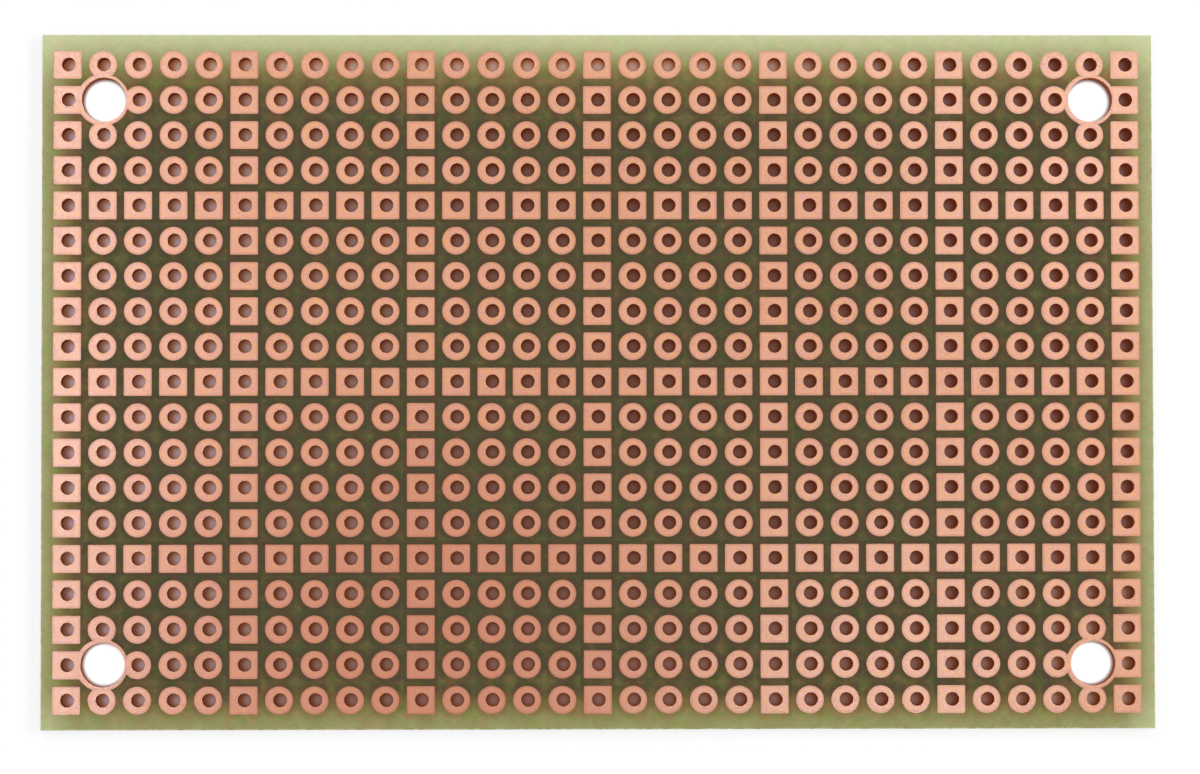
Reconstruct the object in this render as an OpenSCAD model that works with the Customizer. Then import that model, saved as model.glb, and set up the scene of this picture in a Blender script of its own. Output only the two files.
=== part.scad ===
// Prototype board with plated-through holes: a drilled glass-epoxy sheet, a field of copper pads on both faces,
// and a copper barrel through every hole that joins its two pads.
// The origin is the centre of the underside, +X runs along the length and +Z points out of the upper face.

/* [Board] */
// Length of the board, along X
board_length = 80; // [79:0.5:100]
// Width of the board, along Y
board_width = 50; // [49:0.5:70]
// Thickness of the board, over the copper of both faces
board_thickness = 1.6; // [0.8:0.1:3.2]

/* [Copper] */
// Thickness of the copper on each face
foil_thickness = 0.035; // [0.035, 0.07, 0.105]
// Thickness of the copper plated on the wall of a hole
barrel_wall = 0.025; // [0.02:0.005:0.035]
// How far the etched pattern lies off the drilled holes, along X
etch_shift_x = -0.075; // [-0.1:0.005:0.1]
// How far the etched pattern lies off the drilled holes, along Y
etch_shift_y = -0.02; // [-0.1:0.005:0.1]

/* [Lead holes and pads] */
// Number of holes along X
columns = 31; // [9:1:31]
// Number of holes along Y
rows = 19; // [9:1:19]
// Distance between the centres of neighbouring holes
pitch = 2.54; // [2.5, 2.54]
// Inner diameter of a plated lead hole
lead_hole_d = 1; // [0.8:0.1:1.2]
// Diameter of a round pad, and side of a square one
pad_size = 2; // [1.6:0.1:2.1]
// How much etching takes off the corners of a square pad, along its diagonal
corner_loss = 0.05; // [0.02:0.01:0.1]
// Every so many columns and rows the pads are square, as a help in counting
square_every = 5; // [2:1:8]

/* [Mounting holes] */
// Inner diameter of a plated mounting hole
mounting_hole_d = 3.2; // [2.7:0.1:3.2]
// Outer diameter of the copper ring around a mounting hole
mounting_ring_d = 3.75; // [3.65:0.05:4]

/* [Hidden] */
$fn = 96;
laminate_thickness = board_thickness - 2 * foil_thickness;
// Columns count from 1 at the left, and rows count from 1 at the back.
// A mounting hole takes the second place in from both edges at each corner of the field.
MOUNTING_PLACE = 2;
FAR_COLUMN = columns + 1 - MOUNTING_PLACE;
FAR_ROW = rows + 1 - MOUNTING_PLACE;
// How far a drill runs out of each face
DRILL_OVERRUN = 1;

function hole_x(column) = (column - (columns + 1) / 2) * pitch;
function hole_y(row) = ((rows + 1) / 2 - row) * pitch;
function is_mounting(column, row) =
    (column == MOUNTING_PLACE || column == FAR_COLUMN) && (row == MOUNTING_PLACE || row == FAR_ROW);
// The places left of, right of, behind and in front of a mounting hole share its copper.
function shares_ring(column, row) =
    is_mounting(column - 1, row) || is_mounting(column + 1, row)
    || is_mounting(column, row - 1) || is_mounting(column, row + 1);
// Square columns start with the first one, and square rows with the last one of the first group.
function is_square(column, row) = (column - 1) % square_every == 0 || row % square_every == 0;
function hole_d(column, row) = is_mounting(column, row) ? mounting_hole_d : lead_hole_d;
function row_name(row) = str("pad_row_", row < 10 ? "0" : "", row);

// The outline that is etched around one hole, the same on both faces
module etched_outline(column, row) {
    translate([etch_shift_x, etch_shift_y]) {
        if (is_mounting(column, row)) circle(d = mounting_ring_d);
        else if (is_square(column, row))
            intersection() {
                square(pad_size, center = true);
                circle(r = pad_size / sqrt(2) - corner_loss);
            }
        else circle(d = pad_size);
    }
}

// One separate piece of copper: its foil on both faces, and a barrel through each hole that joins them.
// Each place is a column and a row.
module plated_pad(places) {
    color([0.87, 0.61, 0.49])
    difference() {
        union() {
            for (z = [0, board_thickness - foil_thickness])
                translate([0, 0, z])
                linear_extrude(foil_thickness)
                for (place = places)
                    translate([hole_x(place[0]), hole_y(place[1])]) etched_outline(place[0], place[1]);
            for (place = places)
                translate([hole_x(place[0]), hole_y(place[1]), 0])
                cylinder(h = board_thickness, d = hole_d(place[0], place[1]) + 2 * barrel_wall);
        }
        for (place = places)
            translate([hole_x(place[0]), hole_y(place[1]), -DRILL_OVERRUN])
            cylinder(h = board_thickness + 2 * DRILL_OVERRUN, d = hole_d(place[0], place[1]));
    }
}

// The glass-epoxy sheet between the copper of the two faces, drilled wide enough for the barrels
module laminate() {
    color([0.55, 0.55, 0.32])
    difference() {
        translate([-board_length / 2, -board_width / 2, foil_thickness])
        cube([board_length, board_width, laminate_thickness]);
        for (column = [1 : columns], row = [1 : rows])
            translate([hole_x(column), hole_y(row), -DRILL_OVERRUN])
            cylinder(h = board_thickness + 2 * DRILL_OVERRUN, d = hole_d(column, row) + 2 * barrel_wall);
    }
}

// The free pads of one row, each a separate piece of copper
module pad_row(row) {
    for (column = [1 : columns])
        if (!is_mounting(column, row) && !shares_ring(column, row)) plated_pad([[column, row]]);
}

// The ring of one mounting hole and the four pads that run into it, as a single piece of copper
module mounting_pad(column, row) {
    plated_pad([[column, row], [column - 1, row], [column + 1, row], [column, row - 1], [column, row + 1]]);
}

laminate();
for (row = [1 : rows])
    pad_row(row);
mounting_pad(MOUNTING_PLACE, MOUNTING_PLACE);  // mounting_pad_back_left
mounting_pad(FAR_COLUMN, MOUNTING_PLACE);  // mounting_pad_back_right
mounting_pad(MOUNTING_PLACE, FAR_ROW);  // mounting_pad_front_left
mounting_pad(FAR_COLUMN, FAR_ROW);  // mounting_pad_front_right
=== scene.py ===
import bpy
import numpy as np
from mathutils import Matrix, Vector


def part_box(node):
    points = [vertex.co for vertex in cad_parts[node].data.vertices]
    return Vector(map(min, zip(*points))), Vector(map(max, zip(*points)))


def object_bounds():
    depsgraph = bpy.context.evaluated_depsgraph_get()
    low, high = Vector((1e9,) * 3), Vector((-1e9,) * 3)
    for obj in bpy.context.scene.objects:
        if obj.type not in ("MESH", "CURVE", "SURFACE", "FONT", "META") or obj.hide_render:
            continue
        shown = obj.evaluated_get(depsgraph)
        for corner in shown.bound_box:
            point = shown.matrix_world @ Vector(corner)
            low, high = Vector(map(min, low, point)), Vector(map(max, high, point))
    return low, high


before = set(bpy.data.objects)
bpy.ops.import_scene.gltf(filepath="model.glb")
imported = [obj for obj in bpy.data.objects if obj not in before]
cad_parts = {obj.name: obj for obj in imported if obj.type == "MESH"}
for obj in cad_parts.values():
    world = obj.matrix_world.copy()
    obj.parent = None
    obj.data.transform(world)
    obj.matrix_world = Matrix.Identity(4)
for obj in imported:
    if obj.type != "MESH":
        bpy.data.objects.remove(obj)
cad_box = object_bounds()

# ---- Laminate ----------------------------------------------------------------------------------------------
# The drilled sheet that carries everything: plies of glass cloth pressed together in yellow-green epoxy.
# It is translucent, and the light that comes through it is painted into its colour: pale along the bare
# margin, where no copper backs it, and dark between the pads.

# A millimetre in metres. The board's sizes are in millimetres, and its columns and rows of holes are counted
# from the middle hole.
MM = 0.001
PITCH = 2.54
LAST_COLUMN = 15
LAST_ROW = 9
LEAD_HOLE_R = 0.5
MOUNTING_X = (LAST_COLUMN - 1) * PITCH
MOUNTING_Y = (LAST_ROW - 1) * PITCH
MOUNTING_HOLE_R = 1.6
MOUNTING_RING_R = 1.875
# Pads are round, and square in each fifth column and row, with corners that etching has taken a little off.
PAD_HALF = 1.0
SQUARE_EVERY = 5
CORNER_LOSS = 0.05
# The copper was etched this far off the drilled holes, to the left and to the front.
ETCH_X = -0.075
ETCH_Y = -0.02


class Field:
    """A number that varies over a surface. Arithmetic on fields adds Math nodes to the material's tree."""

    def __init__(self, tree, socket):
        self.tree = tree
        self.socket = socket

    def math(self, operation, *operands):
        node = self.tree.nodes.new("ShaderNodeMath")
        node.operation = operation
        for slot, value in zip(node.inputs, (self, *operands)):
            feed(self.tree, slot, value)
        return Field(self.tree, node.outputs[0])

    def __add__(self, other):
        return self.math("ADD", other)

    def __sub__(self, other):
        return self.math("SUBTRACT", other)

    def __rsub__(self, other):
        return self * -1 + other

    def __mul__(self, other):
        return self.math("MULTIPLY", other)

    def __truediv__(self, other):
        return self.math("DIVIDE", other)

    def __abs__(self):
        return self.math("ABSOLUTE")

    def smooth(self, start, end):
        """0 at start, 1 at end, and an S curve between them."""
        node = self.tree.nodes.new("ShaderNodeMapRange")
        node.interpolation_type = "SMOOTHSTEP"
        limits = (start, end, 0.0, 1.0) if start < end else (end, start, 1.0, 0.0)
        feed(self.tree, node.inputs["Value"], self)
        for name, value in zip(("From Min", "From Max", "To Min", "To Max"), limits):
            node.inputs[name].default_value = value
        return Field(self.tree, node.outputs["Result"])


def feed(tree, slot, value):
    """Links a field or a socket into slot, or sets a plain value there."""
    if isinstance(value, Field):
        value = value.socket
    if isinstance(value, bpy.types.NodeSocket):
        tree.links.new(value, slot)
    elif isinstance(value, tuple) and len(value) == 3 and slot.type == "RGBA":
        slot.default_value = (*value, 1.0)
    else:
        slot.default_value = value


def tint(red, green, blue):
    """The linear colour of a display colour given as 0 to 255, by the sRGB curve."""
    share = np.array([red, green, blue]) / 255
    linear = np.where(share <= 0.04045, share / 12.92, ((share + 0.055) / 1.055) ** 2.4)
    return tuple(float(s) for s in linear)


def material(name):
    """A new material: its node tree and its Principled shader."""
    made = bpy.data.materials.new(name)
    made.use_nodes = True
    tree = made.node_tree
    return made, tree, tree.nodes["Principled BSDF"]


def board_point(tree):
    """The point on the board in millimetres: as a vector socket, and as the fields x, y and z."""
    source = tree.nodes.new("ShaderNodeTexCoord")
    scale = tree.nodes.new("ShaderNodeVectorMath")
    scale.operation = "SCALE"
    scale.inputs["Scale"].default_value = 1 / MM
    tree.links.new(source.outputs["Object"], scale.inputs[0])
    split = tree.nodes.new("ShaderNodeSeparateXYZ")
    tree.links.new(scale.outputs[0], split.inputs[0])
    return scale.outputs[0], *(Field(tree, s) for s in split.outputs)


def lies_flat(tree):
    """1 on a face that looks up or down, 0 on a wall."""
    normal = tree.nodes.new("ShaderNodeNewGeometry")
    split = tree.nodes.new("ShaderNodeSeparateXYZ")
    tree.links.new(normal.outputs["True Normal"], split.inputs[0])
    return abs(Field(tree, split.outputs["Z"])).smooth(0.4, 0.6)


def noise(tree, point, per_mm, detail=2.0, stretch=(1.0, 1.0, 1.0)):
    """A soft random field between 0 and 1, with per_mm patches to the millimetre, times stretch each way."""
    mapping = tree.nodes.new("ShaderNodeMapping")
    mapping.inputs["Scale"].default_value = stretch
    tree.links.new(point, mapping.inputs["Vector"])
    node = tree.nodes.new("ShaderNodeTexNoise")
    node.inputs["Scale"].default_value = per_mm
    node.inputs["Detail"].default_value = detail
    tree.links.new(mapping.outputs[0], node.inputs["Vector"])
    return Field(tree, node.outputs["Fac"])


def wave(field, length):
    """A sine wave along a field in millimetres, between -1 and 1."""
    return (field * (2 * np.pi / length)).math("SINE")


def ramp(tree, factor, stops):
    """The colour that the stops, pairs of a position and a colour, give to a factor."""
    node = tree.nodes.new("ShaderNodeValToRGB")
    while len(node.color_ramp.elements) < len(stops):
        node.color_ramp.elements.new(0.5)
    for element, (position, colour) in zip(node.color_ramp.elements, stops):
        element.position = position
        element.color = (*colour, 1.0)
    feed(tree, node.inputs["Fac"], factor)
    return node.outputs["Color"]


def mix(tree, factor, first, second, blend="MIX"):
    """first where factor is 0, second where it is 1. MULTIPLY dyes first with second instead."""
    node = tree.nodes.new("ShaderNodeMix")
    node.data_type = "RGBA"
    node.blend_type = blend
    feed(tree, node.inputs["Factor"], factor)
    feed(tree, node.inputs["A"], first)
    feed(tree, node.inputs["B"], second)
    return node.outputs["Result"]


def bump(tree, shader, height, strength):
    """Lets a height in millimetres turn the surface's normal."""
    node = tree.nodes.new("ShaderNodeBump")
    node.inputs["Strength"].default_value = strength
    node.inputs["Distance"].default_value = MM
    feed(tree, node.inputs["Height"], height)
    tree.links.new(node.outputs["Normal"], shader.inputs["Normal"])


def distance_from(u, v):
    """How far a point lies from the place where both u and v are 0."""
    return (u * u + v * v).math("SQRT")


def nearest_place(field, last):
    """The number of the column or row nearest to a field in millimetres, from -last to last."""
    return (field / PITCH).math("ROUND").math("MINIMUM", last).math("MAXIMUM", -last)


def copper_and_holes(x, y):
    """Distances in millimetres, below 0 inside: to the nearest copper outline, and to the nearest hole.

    A pad is a circle, or in each fifth column and row a square with its corners etched round. A mounting
    hole's ring runs into the pads round it.
    """
    across = x - ETCH_X
    along = y - ETCH_Y
    column = nearest_place(across, LAST_COLUMN)
    row = nearest_place(along, LAST_ROW)
    u = across - column * PITCH
    v = along - row * PITCH
    fifth_column = abs(column.math("FLOORED_MODULO", SQUARE_EVERY)).math("LESS_THAN", 0.5)
    fifth_row = abs(row.math("FLOORED_MODULO", SQUARE_EVERY)).math("LESS_THAN", 0.5)
    is_square = fifth_column.math("MAXIMUM", fifth_row)
    round_pad = distance_from(u, v) - PAD_HALF
    corner_reach = PAD_HALF * 2**0.5 - CORNER_LOSS
    square_side = abs(u).math("MAXIMUM", abs(v)) - PAD_HALF
    square_pad = square_side.math("MAXIMUM", round_pad + (PAD_HALF - corner_reach))
    pad = round_pad + (square_pad - round_pad) * is_square
    ring = distance_from(abs(across) - MOUNTING_X, abs(along) - MOUNTING_Y) - MOUNTING_RING_R
    lead_hole = distance_from(u + ETCH_X, v + ETCH_Y) - LEAD_HOLE_R
    mounting_hole = distance_from(abs(x) - MOUNTING_X, abs(y) - MOUNTING_Y) - MOUNTING_HOLE_R
    return pad.math("MINIMUM", ring), lead_hole.math("MINIMUM", mounting_hole)


(left, front, _), (right, back, _) = [tuple(c / MM for c in corner) for corner in cad_box]
underside, upper_face = (corner[2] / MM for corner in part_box("laminate"))
sheet = upper_face - underside

laminate, tree, shader = material("laminate")
point, x, y, z = board_point(tree)
outline, _ = copper_and_holes(x, y)
level = lies_flat(tree)

# Painted light: how much light comes through, from 0 to 1, painted into the colour. A little comes between
# the pads, and much along the edges, most of all along the back one, which is lit most. From each edge a
# strong beam fades within a few millimetres, and a faint tail goes on.
BEAM_START = -0.4
TAIL_REACH = 8.5
glow = outline.smooth(0.1, 0.8) * 0.04
for inwards, beam_reach, beam_light, tail_light in (
    (x - left, 3.0, 0.56, 0.12),
    (right - x, 3.1, 0.64, 0.10),
    (y - front, 3.2, 0.48, 0.10),
    (back - y, 3.9, 0.90, 0.26),
):
    beam = inwards.smooth(beam_reach, BEAM_START) * beam_light
    tail = inwards.smooth(TAIL_REACH, BEAM_START) * tail_light
    for light in (beam, tail):
        glow = glow + light - glow * light

# Uneven resin and the weave of the cloth vary that light, and the resin does so less where it is bright.
WEAVE_X = 0.79
WEAVE_Y = 0.58
mottle = noise(tree, point, 1.1, 3.0)
fine = noise(tree, point, 5.5, 2.0)
weave = wave(x, WEAVE_X) * wave(y, WEAVE_Y)
through = glow + (mottle - 0.5) * (glow * -0.26 + 0.36) + (fine - 0.5) * 0.09 + weave * 0.01
face = ramp(
    tree,
    through,
    [
        (0.0, tint(77, 72, 33)),
        (0.06, tint(88, 81, 38)),
        (0.18, tint(118, 105, 51)),
        (0.34, tint(142, 130, 70)),
        (0.50, tint(158, 153, 93)),
        (0.66, tint(179, 176, 121)),
        (0.85, tint(205, 206, 150)),
        (1.0, tint(224, 227, 175)),
    ],
)

# The resin is greener in some patches and browner in others, least where it is bright.
patch = noise(tree, point, 1.5, 4.0)
hue = ramp(
    tree,
    patch,
    [
        (0.34, (0.66, 0.98, 0.62)),
        (0.46, (0.86, 0.93, 0.84)),
        (0.56, (0.86, 0.86, 1.10)),
        (0.68, (1.08, 0.82, 0.74)),
    ],
)
hue = mix(tree, glow.smooth(0.1, 0.7) * 0.75, hue, (0.9, 0.9, 0.9))
face = mix(tree, 1.0, face, hue, blend="MULTIPLY")
# Painted shade: the sheet is darker and redder right beside the copper.
copper_edge_shade = outline.smooth(0.52, 0.20) * glow.smooth(0.6, 0.05)
face = mix(tree, copper_edge_shade, face, (1.0, 0.74, 0.68), blend="MULTIPLY")

# The sawn edges show the plies as faint bands, and the fibres that run along them.
PLY = 0.19
ply = wave(z, PLY) * 0.5 + 0.5
fibre = noise(tree, point, 3.0, 4.0, stretch=(0.35, 0.35, 4.0))
edge = ramp(tree, ply * 0.5 + fibre * 0.5, [(0.2, tint(176, 174, 122)), (0.8, tint(226, 226, 182))])

# The saw leaves the sharp rims pale and fuzzy, in places.
FRAY_WIDTH = 0.12
to_rim = (abs(x) - right).math("MAXIMUM", abs(y) - back)
off_middle = abs(z - (underside + upper_face) / 2)
fray = to_rim.smooth(-FRAY_WIDTH, 0.0) * off_middle.smooth(sheet * 0.38, sheet * 0.5)
fray = fray * noise(tree, point, 2.2, 5.0).smooth(0.36, 0.62)

surface = mix(tree, fray * 0.55, mix(tree, level, edge, face), tint(228, 229, 196))
feed(tree, shader.inputs["Base Color"], surface)
feed(tree, shader.inputs["Roughness"], mottle * 0.25 + fray * 0.3 + 0.38)
shader.inputs["Specular IOR Level"].default_value = 0.25
bump(tree, shader, weave * level * 0.002 + fibre * 0.004, 0.6)

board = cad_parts["laminate"]
board.data.materials.clear()
board.data.materials.append(laminate)

# ---- Copper pads -------------------------------------------------------------------------------------------
# Bare foil pads on both faces and the plated barrels that join them through the holes, etched to a satin
# finish. The copper is slightly mottled, duller in the barrels, rounded and darker at its outlines, and
# carries painted reflections and shade in broad patches.

copper, tree, shader = material("copper")
point, x, y, z = board_point(tree)
outline, hole = copper_and_holes(x, y)
level = lies_flat(tree)
grain = noise(tree, point, 5.0, 3.0)
cloud = noise(tree, point, 0.25, 2.0)
rim = outline.smooth(-0.24, -0.01)
knee = hole.smooth(0.10, 0.01)
fleck = noise(tree, point, 6.5, 3.0)

face = ramp(tree, grain * 0.65 + cloud * 0.35, [(0.3, tint(182, 125, 106)), (0.7, tint(207, 155, 139))])
face = mix(tree, fleck.smooth(0.43, 0.58) * 0.85, face, tint(206, 147, 97))
# Painted reflection: it is browner round a place left of the middle of the front, where it mirrors less
# light.
dim_reflection = distance_from(x + 14, (y + 19) * 1.3).smooth(34, 4)
face = mix(tree, dim_reflection * 0.54, face, tint(170, 100, 74))
# A painted highlight: it is brighter along the back, right of the middle.
back_highlight = y.smooth(15, 24) * x.smooth(-14, 8) * x.smooth(38, 16)
face = mix(tree, back_highlight * 0.3, face, tint(222, 172, 138))
# It is darker along its outlines.
face = mix(tree, rim * 0.30, face, tint(150, 84, 56))

# Painted shade and light: the barrels are darker and browner towards the left, and paler towards the upper
# face, near the light at the mouth of each hole.
wall = ramp(tree, grain, [(0.3, tint(198, 108, 66)), (0.7, tint(214, 130, 88))])
wall = mix(tree, x.smooth(-10, -34) * 0.8, wall, tint(170, 94, 48))
wall = mix(tree, z.smooth(1.0, 1.5) * 0.85, wall, tint(208, 138, 106))

# The faces are bare metal, with a coat for the colourless part of their shine. The barrels are nearly matt.
feed(tree, shader.inputs["Base Color"], mix(tree, level, wall, face))
feed(tree, shader.inputs["Metallic"], level * 0.7 + 0.3)
shader.inputs["Specular IOR Level"].default_value = 0.1
feed(tree, shader.inputs["Roughness"], grain * 0.2 + level * -0.15 + 0.50)
shader.inputs["Specular Tint"].default_value = (1.0, 0.5, 0.3, 1.0)
feed(tree, shader.inputs["Coat Weight"], level)
shader.inputs["Coat Roughness"].default_value = 0.19
bump(tree, shader, grain * 0.004 - (rim + knee) * 0.004, 0.5)

for name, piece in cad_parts.items():
    if name != "laminate":
        piece.data.materials.clear()
        piece.data.materials.append(copper)

# ---- Floor -------------------------------------------------------------------------------------------------
# A plain white floor, which also shows through the mounting holes. Under the rest of the board it is painted
# dark brown for the board's shade, and glows weakly below the lead holes with painted light for the light
# that has come down them.

FLOOR_HALF = 3.0
floor_mesh = bpy.data.meshes.new("floor")
corners = [(FLOOR_HALF * i, FLOOR_HALF * j, 0) for i, j in ((-1, -1), (1, -1), (1, 1), (-1, 1))]
floor_mesh.from_pydata(corners, [], [(0, 1, 2, 3)])
floor = bpy.data.objects.new("floor", floor_mesh)
bpy.context.scene.collection.objects.link(floor)

paper, tree, shader = material("floor")
_, x, y, _ = board_point(tree)
rays = tree.nodes.new("ShaderNodeLightPath")
camera_ray, glossy, transmission = (
    Field(tree, rays.outputs[kind]) for kind in ("Is Camera Ray", "Is Glossy Ray", "Is Transmission Ray")
)
seen = camera_ray.math("MAXIMUM", glossy).math("MAXIMUM", transmission)

# White outside the board and below the mounting holes, and there with a painted shade, darker and warmer,
# close to their walls.
OPENING_R = 2.0
BRINK_START_R = 1.36
BRINK_END_R = 1.56
outside = (abs(x) - right).math("MAXIMUM", abs(y) - back).smooth(-0.01, 0.01)
from_axis = distance_from(abs(x) - MOUNTING_X, abs(y) - MOUNTING_Y)
opening = from_axis.math("LESS_THAN", OPENING_R)
brink = from_axis.smooth(BRINK_START_R, BRINK_END_R)
white = outside.math("MAXIMUM", opening)
white_light = mix(tree, opening * brink, (1.0, 1.0, 1.0), (1.0, 0.82, 0.78))

# A painted spot of light under each lead hole, a little towards the middle of the board and to the front.
SPOT_INWARDS = 0.007
SPOT_FRONT = 0.05
u, v = (c - (c / PITCH).math("ROUND") * PITCH for c in (x, y))
from_spot = distance_from(u + x * SPOT_INWARDS, v + SPOT_FRONT)
spot = from_spot.smooth(0.52, 0.08)
shade = from_spot.smooth(0.34, 0.74) * 0.45

# That light is redder near the walls. It is strongest at the left and along the back edge, and stronger at
# the front than in the middle, above all at the right corner of the front.
glow = mix(tree, x.smooth(0, -40), (0.112, 0.056, 0.042), (0.33, 0.225, 0.20))
glow = mix(tree, x.smooth(-22, -38), glow, (0.34, 0.26, 0.29))
glow = mix(tree, y.smooth(20.0, 22.9) * x.smooth(38, 0), glow, (0.40, 0.26, 0.21))
glow = mix(tree, x.smooth(10, 38), glow, (0.150, 0.078, 0.072))
glow = mix(tree, y.smooth(-8, -24) * x.smooth(-50, -5), glow, (0.180, 0.098, 0.080))
glow = mix(tree, y.smooth(-8, -20) * x.smooth(24, 38), glow, (0.27, 0.18, 0.15))
glow = mix(tree, 1 - spot, glow, (0.75, 0.40, 0.22), blend="MULTIPLY")

strength = outside * seen * 0.77 + opening * (brink * -0.65 + 0.90) * (camera_ray + glossy * 0.4)
strength = strength + (1 - white) * seen * (1 - shade)
shader.inputs["Roughness"].default_value = 0.9
shader.inputs["Specular IOR Level"].default_value = 0.0
# Painted shade: the floor's own colour is dark brown under the board, and grey where it shows white.
feed(tree, shader.inputs["Base Color"], mix(tree, white, (0.10, 0.03, 0.015), (0.26, 0.26, 0.26)))
feed(tree, shader.inputs["Emission Color"], mix(tree, white, glow, white_light))
feed(tree, shader.inputs["Emission Strength"], strength)
floor.data.materials.append(paper)

# ---- Room and lamps ----------------------------------------------------------------------------------------
# A white room that lights the board weakly from its sides, and soft lamps above it. The camera sees the room
# as white. Mirrored in the copper it is white near the horizon and dim overhead.

world = bpy.data.worlds.new("room")
bpy.context.scene.world = world
world.use_nodes = True
tree = world.node_tree
background = tree.nodes["Background"]
rays = tree.nodes.new("ShaderNodeLightPath")
direction = tree.nodes.new("ShaderNodeTexCoord")
split = tree.nodes.new("ShaderNodeSeparateXYZ")
tree.links.new(direction.outputs["Generated"], split.inputs[0])
dx, dy, dz = (Field(tree, s) for s in split.outputs)
off_zenith = distance_from(dx, dy)
room = off_zenith.smooth(0.3, 0.7) * 0.24 + 0.05
seen = Field(tree, rays.outputs["Is Camera Ray"])
for kind in ("Is Glossy Ray", "Is Transmission Ray"):
    seen = seen.math("MAXIMUM", Field(tree, rays.outputs[kind]) * dz.smooth(0.75, 0.40))
feed(tree, background.inputs["Strength"], room.math("MAXIMUM", seen))
background.inputs["Color"].default_value = (1, 1, 1, 1)


def soft_lamp(name, position, size, power, colour=(1.0, 1.0, 1.0)):
    """A flat soft lamp at position, facing down. Metres and watts."""
    lamp = bpy.data.lights.new(name, "AREA")
    lamp.shape = "RECTANGLE"
    lamp.size, lamp.size_y = size
    lamp.energy = power
    lamp.color = colour
    stand = bpy.data.objects.new(name, lamp)
    bpy.context.scene.collection.objects.link(stand)
    stand.location = position


soft_lamp("lamp_left", (-0.076, 0.0, 0.30), (0.010, 0.30), 0.23, (0.96, 1.0, 1.08))
soft_lamp("lamp_right", (0.45, 0.05, 0.60), (0.30, 0.40), 3.04)
soft_lamp("lamp_back", (-0.10, 0.40, 0.60), (0.40, 0.30), 0.87)
soft_lamp("lamp_back_right", (0.110, 0.085, 0.60), (0.09, 0.09), 0.155)
soft_lamp("lamp_front_right", (0.070, -0.045, 0.60), (0.06, 0.06), 0.11)

# ---- Camera ------------------------------------------------------------------------------------------------
# Straight above the board, a little to the front and left of its centre, and turned back to face it. The
# turn is about one axis, by its length in radians.

camera = bpy.data.cameras.new("camera")
camera.lens = 140.69
viewer = bpy.data.objects.new("camera", camera)
bpy.context.scene.collection.objects.link(viewer)
viewer.location = (-0.00569, -0.01320, 0.3387)
turn = Vector((0.037919, -0.017185, -0.001202))
viewer.rotation_euler = Matrix.Rotation(turn.length, 3, turn.normalized()).to_euler()
bpy.context.scene.camera = viewer
bpy.context.scene.view_settings.view_transform = "Standard"
